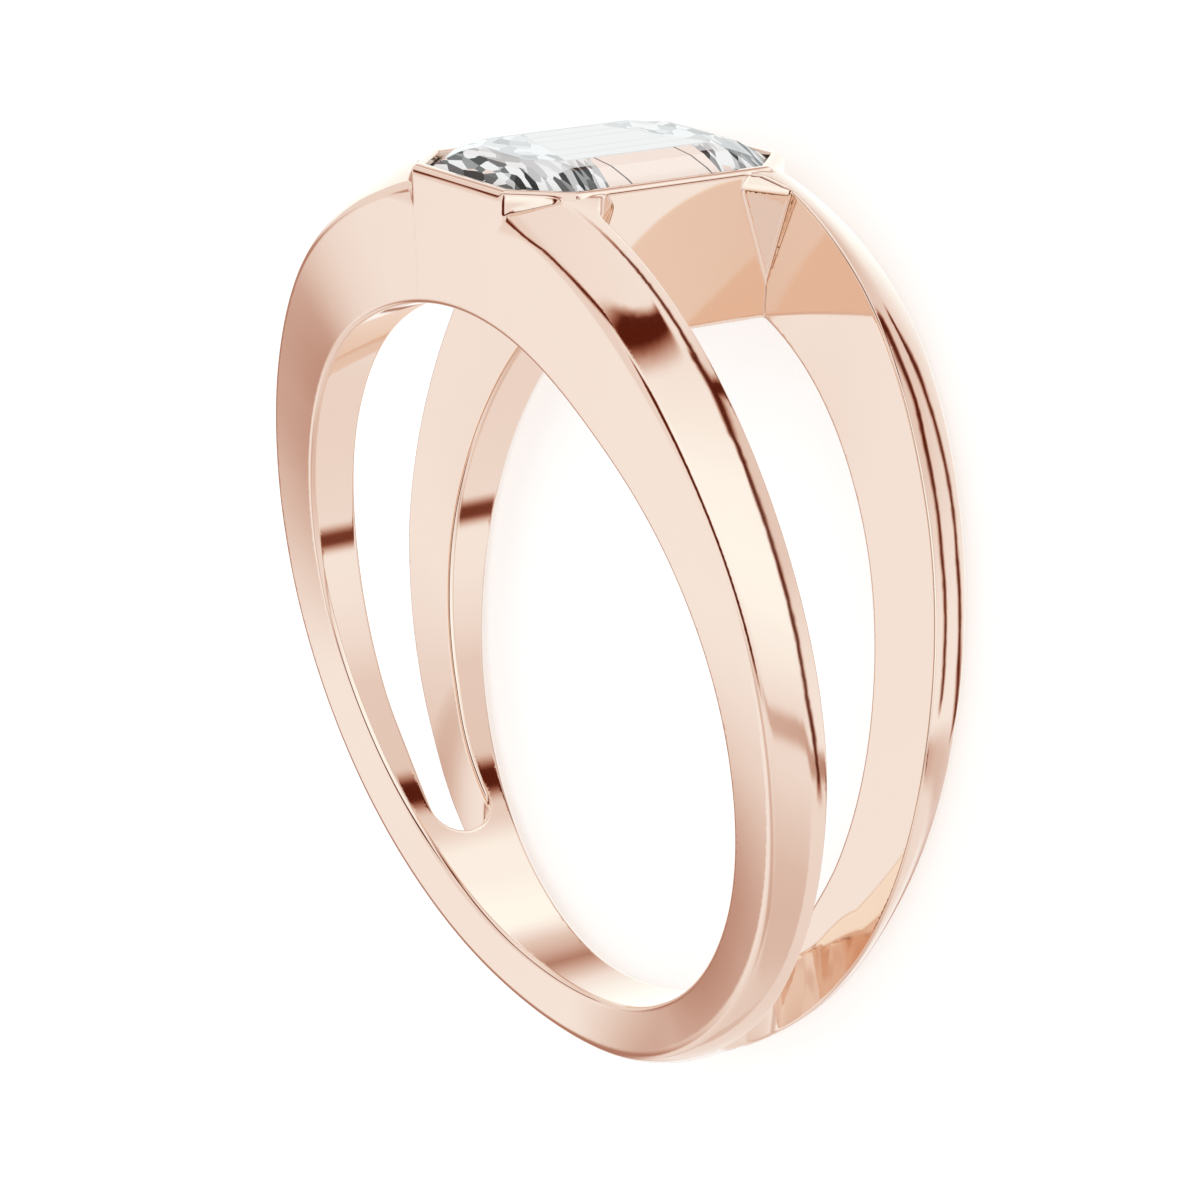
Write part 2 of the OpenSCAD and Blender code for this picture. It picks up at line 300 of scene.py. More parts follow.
def stone_space(ax, ay, z):
    """Opening over the stone, its seat, and the window under it."""
    inset = RIM_CHAMFER + RIM_FLAT
    opening = octagon(ax, ay, SET_HALF_W - inset, SET_HALF_L - inset, SET_CORNER - CUT_GROWTH * inset,
                      OPENING_CORNER)
    opening = np.maximum(opening, GIRDLE_TOP - z)

    window_z = between(KEEL_Z, GIRDLE_LOW, WINDOW_W / (2 * STONE_HALF[0]))
    window_x = WINDOW_W / 2 + SEAT_GAP
    window_y = WINDOW_W / 2 + STONE_HALF[1] - STONE_HALF[0] + SEAT_GAP
    amount = np.clip((z - window_z) / (GIRDLE_LOW - window_z), 0, 1)
    seat = octagon(ax, ay,
                   between(window_x, STONE_HALF[0] + SEAT_GAP, amount),
                   between(window_y, STONE_HALF[1] + SEAT_GAP, amount),
                   between(WINDOW_W / 4, STONE_CORNER + CUT_GROWTH * SEAT_GAP, amount), INNER_EDGE) * 0.8
    seat = np.maximum(seat, z - GIRDLE_TOP - SEAT_GAP)
    seat = np.maximum(seat, BLOCK_LOW - z)
    return np.minimum(seat, opening)


def metal_field(p):
    """The whole of the metal."""
    ax, ay, z = np.abs(p[:, 0]), np.abs(p[:, 1]), p[:, 2]
    r = np.hypot(ax, z)
    angle = np.degrees(np.arctan2(ax, -z))
    body = smooth_min(hoop_field(ay, z, r, angle), block_field(ax, ay, z), np.interp(z, *WELD_EDGE))
    body = round_max(body, -pocket_field(ax, ay, z), POCKET_EDGE)
    body = round_max(body, -channel_field(ax, ay, z, r, angle), SPLIT_EDGE)
    body = round_max(body, -stone_space(ax, ay, z), OPENING_EDGE)
    return round_max(body, FINGER_R - r, HOOP_EDGE)


def gradient(field, p, eps=0.002):
    g = np.empty_like(p)
    for axis in range(3):
        step = np.zeros(3)
        step[axis] = eps
        g[:, axis] = (field(p + step) - field(p - step)) / (2 * eps)
    return g


def in_chunks(work, p, size=400000):
    return np.concatenate([work(p[i:i + size]) for i in range(0, len(p), size)])


def unit(v):
    return v / np.maximum(np.linalg.norm(v, axis=1, keepdims=True), 1e-12)


def field_normals(field, p):
    return unit(in_chunks(lambda q: gradient(field, q), p))


def to_surface(field, p, rounds):
    """Moves points onto the zero surface, in short steps along the gradient."""
    for _ in range(rounds):
        f = in_chunks(field, p)
        g = in_chunks(lambda q: gradient(field, q), p)
        move = g * (f / np.maximum((g ** 2).sum(1), 0.05))[:, None]
        length = np.linalg.norm(move, axis=1, keepdims=True)
        p = p - move * np.minimum(1, 0.08 / np.maximum(length, 1e-9))
    return p


def surface_nets(field, reach, step):
    """Quads around the zero surface in x > 0, y > 0, of a field that is its own mirror image in both."""
    axes = [(np.arange(-1, int(math.ceil(h / step))) + 0.5) * step for h in reach[:2]]
    axes.append(np.arange(reach[2], reach[3] + step, step))
    low = np.array([a[0] for a in axes])
    grid = np.stack(np.meshgrid(*axes, indexing="ij"), -1).reshape(-1, 3)
    f = in_chunks(field, grid).reshape([len(a) for a in axes])
    cells = np.array(f.shape) - 1
    corners, points, quads = [], [], []
    for axis in range(3):
        b, c = [(1, 2), (2, 0), (0, 1)][axis]
        ahead = np.eye(3, dtype=int)[axis]
        near = f[tuple(slice(0, k - e) for k, e in zip(f.shape, ahead))]
        far = f[tuple(slice(e, None) for e in ahead)]
        at = np.argwhere((near < 0) != (far < 0))
        f0, f1 = f[tuple(at.T)], f[tuple((at + ahead).T)]
        point = at + ahead * (f0 / (f0 - f1))[:, None]
        around = []
        for db, dc in ((1, 1), (0, 1), (0, 0), (1, 0)):
            cell = at.copy()
            cell[:, b] -= db
            cell[:, c] -= dc
            inside = ((cell >= 0) & (cell < cells)).all(1)
            number = np.where(inside, (cell[:, 0] * cells[1] + cell[:, 1]) * cells[2] + cell[:, 2], -1)
            around.append(number)
            corners.append(number[inside])
            points.append(point[inside])
        quad = np.stack(around, 1)
        quad[f0 >= 0] = quad[f0 >= 0][:, ::-1]
        quads.append(quad[(quad >= 0).all(1)])
    corners, points = np.concatenate(corners), np.concatenate(points)
    used, index = np.unique(corners, return_inverse=True)
    index = index.reshape(-1)
    count = np.bincount(index)
    verts = np.stack([np.bincount(index, points[:, k]) / count for k in range(3)], 1)
    verts = low + verts * step
    verts[np.abs(verts) < 1e-9] = 0
    quads = np.searchsorted(used, np.concatenate(quads))
    return verts, quads


def relax(verts, quads, normals, amount):
    """Moves each point along the surface, towards the mean of its neighbours."""
    total = np.zeros_like(verts)
    count = np.zeros(len(verts))
    for i in range(4):
        a, b = quads[:, i], quads[:, (i + 1) % 4]
        np.add.at(total, a, verts[b])
        np.add.at(total, b, verts[a])
        np.add.at(count, a, 1)
        np.add.at(count, b, 1)
    move = total / np.maximum(count, 1)[:, None] - verts
    move -= normals * (move * normals).sum(1, keepdims=True)
    move[verts == 0] = 0
    return verts + amount * move


def quads_to_tris(quads, normals):
    """Splits each quad along the diagonal over which the surface turns less."""
    turn0 = (normals[quads[:, 0]] * normals[quads[:, 2]]).sum(1)
    turn1 = (normals[quads[:, 1]] * normals[quads[:, 3]]).sum(1)
    a, b = quads[turn0 >= turn1], quads[turn0 < turn1]
    return np.concatenate([a[:, [0, 1, 2]], a[:, [0, 2, 3]], b[:, [0, 1, 3]], b[:, [1, 2, 3]]])


def halve_edges(field, verts, tris, normals, bend, shortest):
    """Halves the edges over which the surface turns, and puts each new point on the surface."""
    pairs = np.stack([tris, np.roll(tris, -1, 1)], 2)
    pairs = np.sort(pairs, 2).reshape(-1, 2)
    keys = pairs[:, 0].astype(np.int64) * len(verts) + pairs[:, 1]
    _, first, inverse = np.unique(keys, return_index=True, return_inverse=True)
    inverse = inverse.reshape(-1)
    edges = pairs[first]
    turn = (normals[edges[:, 0]] * normals[edges[:, 1]]).sum(1)
    length = np.linalg.norm(verts[edges[:, 0]] - verts[edges[:, 1]], axis=1)
    marked = (turn < math.cos(math.radians(bend))) & (length > shortest)
    number = np.full(len(edges), -1)
    number[marked] = len(verts) + np.arange(marked.sum())
    middle = to_surface(field, verts[edges[marked]].mean(1), 4)
    verts = np.concatenate([verts, middle])
    normals = np.concatenate([normals, field_normals(field, middle)])
    mid = number[inverse].reshape(-1, 3)
    has = mid >= 0
    parts = has.sum(1)
    out = [tris[parts == 0]]
    full = parts == 3
    (a, b, c), (ab, bc, ca) = tris[full].T, mid[full].T
    out += [np.stack(t, 1) for t in ((a, ab, ca), (ab, b, bc), (ca, bc, c), (ab, bc, ca))]
    for k in range(3):
        one = (parts == 1) & has[:, k]
        a, b, c = (tris[one][:, (k + i) % 3] for i in range(3))
        m = mid[one][:, k]
        out += [np.stack(t, 1) for t in ((a, m, c), (m, b, c))]
        two = (parts == 2) & ~has[:, k]
        a, b, c = (tris[two][:, (k + i) % 3] for i in range(3))
        bc, ca = mid[two][:, (k + 1) % 3], mid[two][:, (k + 2) % 3]
        out += [np.stack(t, 1) for t in ((c, ca, bc), (a, b, bc), (a, bc, ca))]
    return verts, np.concatenate(out), normals


def rest_pose():
    """How the ring lies by itself: it leans on the edge of the band and on the rim of the finger hole."""
    def shape(column, angle):
        return float(share(np.array([float(angle)]), column)[0])

    def half_width(column, angle):
        return between(BAND_W / 2, SET_HALF_L, shape(column, angle))

    def edge_radius(angle):
        return FINGER_R + between(BAND_WALL, SHOULDER_WALL, shape(WALL, angle))

    def cos(angle):
        return math.cos(math.radians(angle))

    def depth(point, tilt):
        return point[0] * math.cos(tilt) - point[1] * math.sin(tilt)

    edges = [(half_width(HALF_AT_EDGE, a), -edge_radius(a) * cos(a)) for a in range(0, 90, 5)]
    rims = [(half_width(HALF_AT_HOLE, a), -FINGER_R * cos(a)) for a in range(95, 180, 5)]
    tilt = 0
    for _ in range(3):
        contact = max(edges, key=lambda p: depth(p, tilt))
        tilt = max(math.atan2(p[0] - contact[0], p[1] - contact[1]) for p in rims)
    lift = max(depth(p, tilt) for p in edges)

    # The middle of the box lies between the end of the stone's table and the crown of the palm side
    stone = TABLE_HALF[1] * math.sin(tilt) + TABLE_Z * math.cos(tilt)
    palm_r = edge_radius(0) + CROWN_RISE
    split = SPLIT_W / 2 * SHAPE[1, SPLIT]
    ridge = between(split, BAND_W / 2, LAND_SHARE)
    palm = max(split * math.sin(tilt) + palm_r * math.cos(tilt),
               ridge * math.sin(tilt) + (palm_r - LAND_SLOPE * (ridge - split)) * math.cos(tilt))
    shift = (palm - stone) / 2
    turn = Matrix.Rotation(tilt - math.pi / 2, 4, "X")
    return Matrix.Translation((0, shift * MM, lift * MM)) @ turn @ Matrix.Scale(MM, 4)


POSE = rest_pose()


def add_camera():
    """Camera at the photograph's angle to the ring."""
    az, el = math.radians(CAMERA_AZIMUTH), math.radians(CAMERA_ELEVATION)
    back = Vector((math.sin(az) * math.cos(el), -math.cos(az) * math.cos(el), math.sin(el)))
    right = Vector((math.cos(az), math.sin(az), 0))
    up = back.cross(right)
    centre = (right * CAMERA_RIGHT + up * CAMERA_UP + back * CAMERA_BACK) * FINGER_R
    turn = Matrix((right, up, back)).transposed().to_4x4()
    data = bpy.data.cameras.new("camera")
    data.lens = SENSOR_W / 2 * CAMERA_FOCUS
    data.sensor_width = SENSOR_W
    data.clip_start, data.clip_end = 0.005, 20
    camera = bpy.data.objects.new("camera", data)
    bpy.context.scene.collection.objects.link(camera)
    place = POSE @ Matrix.Translation(centre) @ turn
    camera.matrix_world = Matrix.Translation(place.translation) @ place.to_quaternion().to_matrix().to_4x4()
    bpy.context.scene.camera = camera


add_camera()


def link(name, mesh):
    obj = bpy.data.objects.new(name, mesh)
    bpy.context.scene.collection.objects.link(obj)
    return obj


def mesh_of(name, verts, tris):
    mesh = bpy.data.meshes.new(name)
    mesh.vertices.add(len(verts))
    mesh.vertices.foreach_set("co", verts.astype(np.float32).reshape(-1))
    mesh.loops.add(3 * len(tris))
    mesh.loops.foreach_set("vertex_index", tris.astype(np.int32).reshape(-1))
    mesh.polygons.add(len(tris))
    mesh.polygons.foreach_set("loop_start", np.arange(0, 3 * len(tris), 3, dtype=np.int32))
    mesh.update(calc_edges=True)
    return mesh


def thin_out(verts, tris, target):
    """Fewer triangles: large ones on the flats, and narrow ones along the rounded edges."""
    obj = link("thin_out", mesh_of("thin_out", verts, tris))
    thin = obj.modifiers.new("thin", "DECIMATE")
    thin.ratio = target / len(tris)
    thin.use_collapse_triangulate = True
    bpy.context.view_layer.update()
    done = obj.evaluated_get(bpy.context.evaluated_depsgraph_get()).to_mesh()
    places = np.empty(3 * len(done.vertices), np.float32)
    done.vertices.foreach_get("co", places)
    done.calc_loop_triangles()
    faces = np.empty(3 * len(done.loop_triangles), np.int32)
    done.loop_triangles.foreach_get("vertices", faces)
    mesh = obj.data
    bpy.data.objects.remove(obj)
    bpy.data.meshes.remove(mesh)
    verts, tris = places.reshape(-1, 3).astype(float), faces.reshape(-1, 3).astype(np.int64)
    # Put the cut edges back on the two mirror planes
    sides = np.sort(np.stack([tris, np.roll(tris, -1, 1)], 2).reshape(-1, 2), 1)
    sides, count = np.unique(sides, axis=0, return_counts=True)
    sides = sides[count == 1]
    off = np.abs(verts[sides][:, :, :2]).max(1)
    for axis in (0, 1):
        verts[sides[off[:, axis] < off[:, 1 - axis]].reshape(-1), axis] = 0
    return verts, tris


def corner_normals(field, verts, tris):
    """Normals at each triangle's corners, taken a little inside a wide one, so that flats stay flat."""
    corners = verts[tris]
    sides = np.linalg.norm(corners - np.roll(corners, -1, 1), axis=2)
    area = np.linalg.norm(np.cross(corners[:, 1] - corners[:, 0], corners[:, 2] - corners[:, 0]), axis=1)
    inwards = 0.3 * np.clip((area / sides.max(1) - 0.02) / 0.05, 0, 1)
    points = corners + inwards[:, None, None] * (corners.mean(1, keepdims=True) - corners)
    return field_normals(field, points.reshape(-1, 3)).reshape(-1, 3, 3)


def mirrored(verts, tris, normals):
    """The whole from its quarter in x > 0, y > 0."""
    at = {}
    all_verts, all_tris, all_normals, total = [], [], [], 0
    for sx, sy in ((1, 1), (-1, 1), (1, -1), (-1, -1)):
        number = np.full(len(verts), -1)
        if sx < 0:
            number = np.where(verts[:, 0] == 0, at[1, sy], number)
        if sy < 0:
            number = np.where(verts[:, 1] == 0, at[sx, 1], number)
        new = number < 0
        number[new] = total + np.arange(new.sum())
        total += new.sum()
        at[sx, sy] = number
        flip = np.array([sx, sy, 1])
        order = [0, 1, 2] if sx * sy > 0 else [2, 1, 0]
        all_verts.append(verts[new] * flip)
        all_tris.append(number[tris[:, order]])
        all_normals.append(normals[:, order] * flip)
    return np.concatenate(all_verts), np.concatenate(all_tris), np.concatenate(all_normals)


def make_ring():
    verts, quads = surface_nets(metal_field, GRID_REACH, GRID_STEP)
    verts = to_surface(metal_field, verts, 3)
    for _ in range(2):
        verts = relax(verts, quads, field_normals(metal_field, verts), 0.4)
        verts = to_surface(metal_field, verts, 2)
    normals = field_normals(metal_field, verts)
    tris = quads_to_tris(quads, normals)
    for bend, shortest in HALVING:
        verts, tris, normals = halve_edges(metal_field, verts, tris, normals, bend, shortest)
    verts, tris = thin_out(verts, tris, QUARTER_TRIANGLES)
    verts = to_surface(metal_field, verts, 4)
    verts, tris, normals = mirrored(verts, tris, corner_normals(metal_field, verts, tris))
    turn = np.array(POSE.to_3x3()) / MM
    mesh = mesh_of("ring_metal", verts @ (turn * MM).T + np.array(POSE.translation), tris)
    mesh.polygons.foreach_set("use_smooth", np.ones(len(tris), bool))
    mesh.normals_split_custom_set(unit(normals.reshape(-1, 3) @ turn.T).tolist())
    mesh.update()
    return link("ring_metal", mesh)


def make_stone():
    """Step cut: a table, three crown steps, a girdle, and a pavilion that ends in a keel."""
    mesh = bmesh.new()
    uv = mesh.loops.layers.uv.new("from_above")
    half_x, half_y = STONE_HALF

    def ring_of(hx, hy, c, z):
        points = [(hx - c, -hy), (hx, c - hy), (hx, hy - c), (hx - c, hy),
                  (c - hx, hy), (-hx, hy - c), (-hx, c - hy), (c - hx, -hy)]
        return [mesh.verts.new((x, y, z)) for x, y in points]

    crown = [ring_of(half_x - across, half_y - along, STONE_CORNER * corner, GIRDLE_TOP + height)
             for across, along, corner, height in CROWN_LEVELS]
    low = ring_of(half_x, half_y, STONE_CORNER, GIRDLE_LOW)
    a, b = (mesh.verts.new((0, y, KEEL_Z)) for y in (half_x - half_y, half_y - half_x))
    for lower, upper in zip([low] + crown, crown):
        for k in range(8):
            mesh.faces.new((lower[k], lower[(k + 1) % 8], upper[(k + 1) % 8], upper[k]))
    table = mesh.faces.new(crown[-1])
    table.material_index = 1
    for corners in ((low[1], low[0], a), (low[2], low[1], a, b), (low[3], low[2], b), (low[4], low[3], b),
                    (low[5], low[4], b), (low[6], low[5], b, a), (low[7], low[6], a), (low[0], low[7], a)):
        mesh.faces.new(corners)
    for face in mesh.faces:
        for loop in face.loops:
            loop[uv].uv = loop.vert.co.xy
    bmesh.ops.recalc_face_normals(mesh, faces=mesh.faces)
    mesh.transform(POSE)
    data = bpy.data.meshes.new("stone_facets")
    mesh.to_mesh(data)
    mesh.free()
    return link("stone_facets", data)


class Tree:
    """Node tree of a material or a world, with short ways to add to it."""

    def __init__(self, owner):
        owner.use_nodes = True
        self.nodes, self.links = owner.node_tree.nodes, owner.node_tree.links

    def put(self, node, key, value):
        if isinstance(value, bpy.types.NodeSocket):
            self.links.new(value, node.inputs[key])
        else:
            node.inputs[key].default_value = value

    def calc(self, kind, *values):
        node = self.nodes.new("ShaderNodeMath")
        node.operation = kind
        for k, value in enumerate(values):
            self.put(node, k, value)
        return node.outputs[0]

    def add(self, a, b):
        return self.calc("ADD", a, b)

    def sub(self, a, b):
        return self.calc("SUBTRACT", a, b)

    def mul(self, a, b):
        return self.calc("MULTIPLY", a, b)

    def larger(self, a, b):
        return self.calc("MAXIMUM", a, b)

    def smaller(self, a, b):
        return self.calc("MINIMUM", a, b)

    def size(self, a):
        return self.calc("ABSOLUTE", a)

    def over(self, a, b):
        return self.calc("GREATER_THAN", a, b)

    def under(self, a, b):
        return self.calc("LESS_THAN", a, b)

    def mix(self, a, b, amount):
        return self.add(a, self.mul(self.sub(b, a), amount))

    def mix_colours(self, a, b, amount):
        node = self.nodes.new("ShaderNodeMix")
        node.data_type = "RGBA"
        self.put(node, 0, amount)
        for key, value in ((6, a), (7, b)):
            self.put(node, key, value if isinstance(value, bpy.types.NodeSocket) else (*value, 1))
        return node.outputs[2]

    def vector(self, kind, *values, out="Vector"):
        node = self.nodes.new("ShaderNodeVectorMath")
        node.operation = kind
        for k, value in enumerate(values):
            self.put(node, "Scale" if kind == "SCALE" and k else k, value)
        return node.outputs[out]

    def dot(self, a, b):
        return self.vector("DOT_PRODUCT", a, b, out="Value")

    def step(self, value, none, full):
        """Soft step from 0, where value is none, to 1, where it is full."""
        node = self.nodes.new("ShaderNodeMapRange")
        node.interpolation_type = "SMOOTHSTEP"
        for key, v in zip(("Value", "From Min", "From Max"), (value, none, full)):
            self.put(node, key, v)
        return node.outputs["Result"]

    def curve(self, value, points, top=1.3):
        """Straight lines through points of (degrees, level), for a value that is 1 at 180 degrees."""
        node = self.nodes.new("ShaderNodeFloatCurve")
        line = node.mapping.curves[0].points
        line[0].location, line[1].location = ((points[k][0] / 180, points[k][1] / top) for k in (0, -1))
        for degrees, level in points[1:-1]:
            line.new(degrees / 180, level / top)
        for point in line:
            point.handle_type = "VECTOR"
        node.mapping.update()
        self.put(node, "Value", value)
        return self.mul(node.outputs[0], top)


def metal_material():
    """Polished, with a faint cloudiness in its tint and in its polish."""
    mat = bpy.data.materials.new("rose_gold")
    tree = Tree(mat)
    shader = tree.nodes["Principled BSDF"]
    tree.put(shader, "Metallic", 1.0)
    cloud = tree.nodes.new("ShaderNodeTexNoise")
    tree.put(cloud, "Scale", 900.0)
    tree.put(cloud, "Detail", 3.0)
    tree.put(cloud, "Vector", tree.nodes.new("ShaderNodeTexCoord").outputs["Object"])
    tint = tree.mix_colours((0.925, 0.78, 0.68), (0.915, 0.765, 0.665), cloud.outputs["Fac"])
    tree.put(shader, "Base Color", tint)
    rough = tree.nodes.new("ShaderNodeMapRange")
    tree.put(rough, "To Min", 0.035)
    tree.put(rough, "To Max", 0.075)
    tree.put(rough, "Value", cloud.outputs["Fac"])
    tree.put(shader, "Roughness", rough.outputs["Result"])
    return mat


def grey(level):
    return (level, level, level)


def painted_reflection_shards(tree, u, v, scale, shift, ramp):
    """Slanting facets of painted reflection, each of one colour of the ramp."""
    place = tree.nodes.new("ShaderNodeCombineXYZ")
    tree.put(place, 0, tree.add(tree.mul(u, scale[0]), tree.mul(v, shift)))
    tree.put(place, 1, tree.mul(v, scale[1]))
    cells = tree.nodes.new("ShaderNodeTexVoronoi")
    tree.put(cells, "Scale", 1.0)
    tree.put(cells, "Vector", place.outputs[0])
    one = tree.nodes.new("ShaderNodeSeparateColor")
    tree.put(one, 0, cells.outputs["Color"])
    colours = tree.nodes.new("ShaderNodeValToRGB")
    colours.color_ramp.interpolation = "CONSTANT"
    stops = colours.color_ramp.elements
    for k, (start, colour) in enumerate(ramp):
        stop = stops[k] if k < 2 else stops.new(start)
        stop.position = start
        stop.color = (*colour, 1)
    tree.put(colours, 0, one.outputs[0])
    return colours.outputs[0]


def past(tree, u, v, limits):
    """How far a place is past a half width or a half length."""
    return tree.larger(tree.sub(tree.size(u), limits[0]), tree.sub(tree.size(v), limits[1]))


def table_painted_reflections(tree, u, v):
    """The table's painted light and shade: pale, with the pavilion's steps and ends painted faint through it, and
    a painted dark border.
    """
    away = tree.larger(tree.size(u), tree.sub(tree.size(v), TABLE_HALF[1] - TABLE_HALF[0]))
    bands = tree.over(tree.calc("FRACT", tree.mul(away, 1.9)), 0.72)
    colour = tree.mix_colours((0.745, 0.735, 0.725), (0.69, 0.68, 0.67), bands)
    # Painted reflections of the stone's ends, seen through the table
    ends = painted_reflection_shards(tree, u, v, (2.0, 3.2), 1.0,
                  [(0, grey(0.36)), (0.12, grey(0.52)), (0.35, grey(0.66)), (0.6, grey(0.80))])
    colour = tree.mix_colours(colour, ends, tree.over(tree.sub(tree.size(v), tree.mul(u, 0.3)), 1.45))
    # A painted dark reflection along the table's border
    border = past(tree, u, v, (TABLE_HALF[0] - 0.07, TABLE_HALF[1] - 0.07))
    return tree.mix_colours(colour, (0.52, 0.54, 0.55), tree.over(border, 0.0))


def crown_painted_reflections(tree, u, v):
    """Painted reflections: light and dark facets at the two ends, and pale and warm between them, as a step cut
    shows them. The warm tone is a painted reflection of the metal.
    """
    # Painted reflections at the two ends: black to pale grey facets
    ends = painted_reflection_shards(tree, u, v, (1.9, 6.8), 2.5,
                  [(0, grey(0.002)), (0.09, grey(0.02)), (0.17, grey(0.10)), (0.27, grey(0.27)),
                   (0.40, grey(0.54)), (0.56, grey(0.84)), (0.93, (0.82, 0.67, 0.60))])
    upper = tree.under(past(tree, u, v, TABLE_HALF), 0.3)
    ends = tree.mix_colours(ends, (0.84, 0.85, 0.86), tree.mul(upper, 0.55))
    girdle = tree.over(tree.size(u), STONE_HALF[0] - 0.09)
    # Painted reflection of the warm metal on the sides, grey near the girdle
    sides = tree.mix_colours((0.90, 0.78, 0.71), (0.42, 0.47, 0.50), girdle)
    slant = tree.add(v, tree.mul(tree.size(u), -0.35))
    # Painted dark lines along two slanting facet edges
    for place in (-1.75, 0.35):
        edge = tree.under(tree.size(tree.sub(slant, place)), 0.022)
        sides = tree.mix_colours(sides, (0.16, 0.14, 0.14), edge)
    sloping = tree.sub(tree.size(v), tree.mul(tree.size(u), 0.12))
    return tree.mix_colours(sides, ends, tree.over(sloping, 1.15))


def stone_material(name, colour_of):
    """Facets painted by their place from above, in mm, with painted reflections and shade in place of what light
    does in a clear stone.
    """
    mat = bpy.data.materials.new(name)
    tree = Tree(mat)
    shader = tree.nodes["Principled BSDF"]
    tree.put(shader, "Roughness", 0.02)
    tree.put(shader, "IOR", 1.6)
    tree.put(shader, "Specular IOR Level", 0.3)
    place = tree.nodes.new("ShaderNodeSeparateXYZ")
    tree.put(place, 0, tree.nodes.new("ShaderNodeUVMap").outputs[0])
    tree.put(shader, "Base Color", colour_of(tree, place.outputs[0], place.outputs[1]))
    return mat


ring = make_ring()
ring.data.materials.append(metal_material())
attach(ring, "root")
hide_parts("ring_mount")

stone = make_stone()
# The stone's two materials are opaque, with painted reflections in their colours
stone.data.materials.append(stone_material("clear_stone", crown_painted_reflections))
stone.data.materials.append(stone_material("clear_stone_table", table_painted_reflections))
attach(stone, "root")
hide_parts("emerald_cut_stone")


def make_floor(half=0.4):
    """Pale floor that takes a soft shadow, and that the metal doesn't mirror."""
    mesh = bpy.data.meshes.new("floor")
    mesh.from_pydata([(-half, -half, 0), (half, -half, 0), (half, half, 0), (-half, half, 0)], [], [(0, 1, 2, 3)])
    mat = bpy.data.materials.new("floor")
    tree = Tree(mat)
    shader = tree.nodes["Principled BSDF"]
    tree.put(shader, "Base Color", (0.75, 0.75, 0.75, 1))
    tree.put(shader, "Emission Color", (1, 1, 1, 1))
    tree.put(shader, "Emission Strength", 0.42)
    tree.put(shader, "Roughness", 0.9)
    tree.put(shader, "Specular IOR Level", 0.1)
    floor = link("floor", mesh)
    floor.data.materials.append(mat)
    floor.visible_glossy = False
    return floor


# Brightness of the panels towards four sides, from the top (0 degrees) down to the bottom (180 degrees)
FRONT_RIGHT = [(0, 0.97), (24, 0.95), (45, 1.06), (56, 1.15), (72, 1.19), (85, 1.16), (97, 1.04), (106, 0.9),
               (120, 0.88), (132, 0.74), (142, 0.64), (154, 0.6), (166, 0.62), (180, 0.72)]
FRONT_LEFT = [(0, 0.97), (24, 0.92), (42, 0.89), (55, 0.8), (88, 0.82), (98, 0.97), (120, 1.0), (150, 0.78),
              (180, 0.72)]
BACK_RIGHT = [(0, 0.95), (20, 0.92), (30, 0.82), (46, 0.72), (74, 0.75), (84, 0.88), (98, 0.98), (110, 1.0),
              (122, 0.88), (145, 0.83), (180, 0.8)]
BACK_LEFT = [(0, 0.97), (30, 1.0), (37, 0.93), (43, 0.78), (48, 0.57), (54, 0.25), (60, 0.61), (66, 0.94),
             (74, 1.1), (85, 1.2), (102, 1.2), (120, 1.1), (135, 0.96), (150, 0.85), (180, 0.8)]

# How dark the gap above the ground is, by half the degrees round about from the back left
GROUND_GAP = [(0, 0.4), (7, 0.0), (44, 0.0), (60, 0.1), (72, 0.4), (90, 0.5), (100, 0.75), (104, 0.97),
              (113, 0.97), (120, 0.55), (128, 0.35), (146, 0.35), (160, 0.8), (180, 0.8)]

# Upright gaps between the panels: degrees round about, half width, soft edge, top, bottom, how dark
UPRIGHT_GAPS = [(-74.0, 5.0, 12.0, 50, 112, 1.0), (-96.0, 3.0, 16.0, 112, 150, 0.4),
                (-178.0, 8.0, 31.0, 92, 136, 0.75)]

# Thin dark lines that outline the edges of the metal, each through points of degrees off the top, degrees
# round about, half width and soft edge
DARK_LINES = [
    [(76, -152, 0.5, 7), (71, -136, 1.5, 8), (57, -118, 1, 7), (42, -104, 1.5, 8), (30, -88, 2, 8)],
    [(27, 10, 0.5, 3.5), (36, 12, 1, 4.5), (39, 30, 1, 5), (43, 42, 2, 7), (45, 56, 2, 7), (60, 88, 1, 4),
     (64, 82, 1, 4), (70, 78, 1, 4), (74, 72, 1, 3.5), (80, 69, 0.5, 3.5), (87, 66, 0.5, 3.5),
     (101, 67, 0.5, 3.5), (108, 69, 0.2, 3)],
    [(36, 12, 1, 4.5), (46, 8, 0.8, 4)],
    [(70, 98, 1, 4), (76, 96, 1, 4), (79, 93, 0.5, 3.5), (84, 90, 0.5, 3.5), (95, 87, 0.5, 3.5),
     (100, 89, 0.5, 3.5), (106, 92, 0.5, 3.5), (112, 101, 0.2, 3)],
]
# A bright patch in the same terms
BRIGHT_LINE = [(33, 92, 8, 18), (33, 112, 8, 18)]

# A direction from the upright ring: its own axes, the share of the way from the top to the bottom, and the
# degrees round about
Sky = namedtuple("Sky", "x y z off_top round_about")


def panels(tree, sky):
    """Brightness of the panels, blended between their four sides."""
    front_right, front_left, back_right, back_left = (
        tree.curve(sky.off_top, points) for points in (FRONT_RIGHT, FRONT_LEFT, BACK_RIGHT, BACK_LEFT))
    front = tree.mix(front_right, front_left, tree.step(sky.round_about, -60.0, -100.0))
    back = tree.mix(back_right, back_left, tree.step(sky.round_about, 90.0, 130.0))
    return tree.mix(front, back, tree.step(sky.y, 0.06, 0.10))


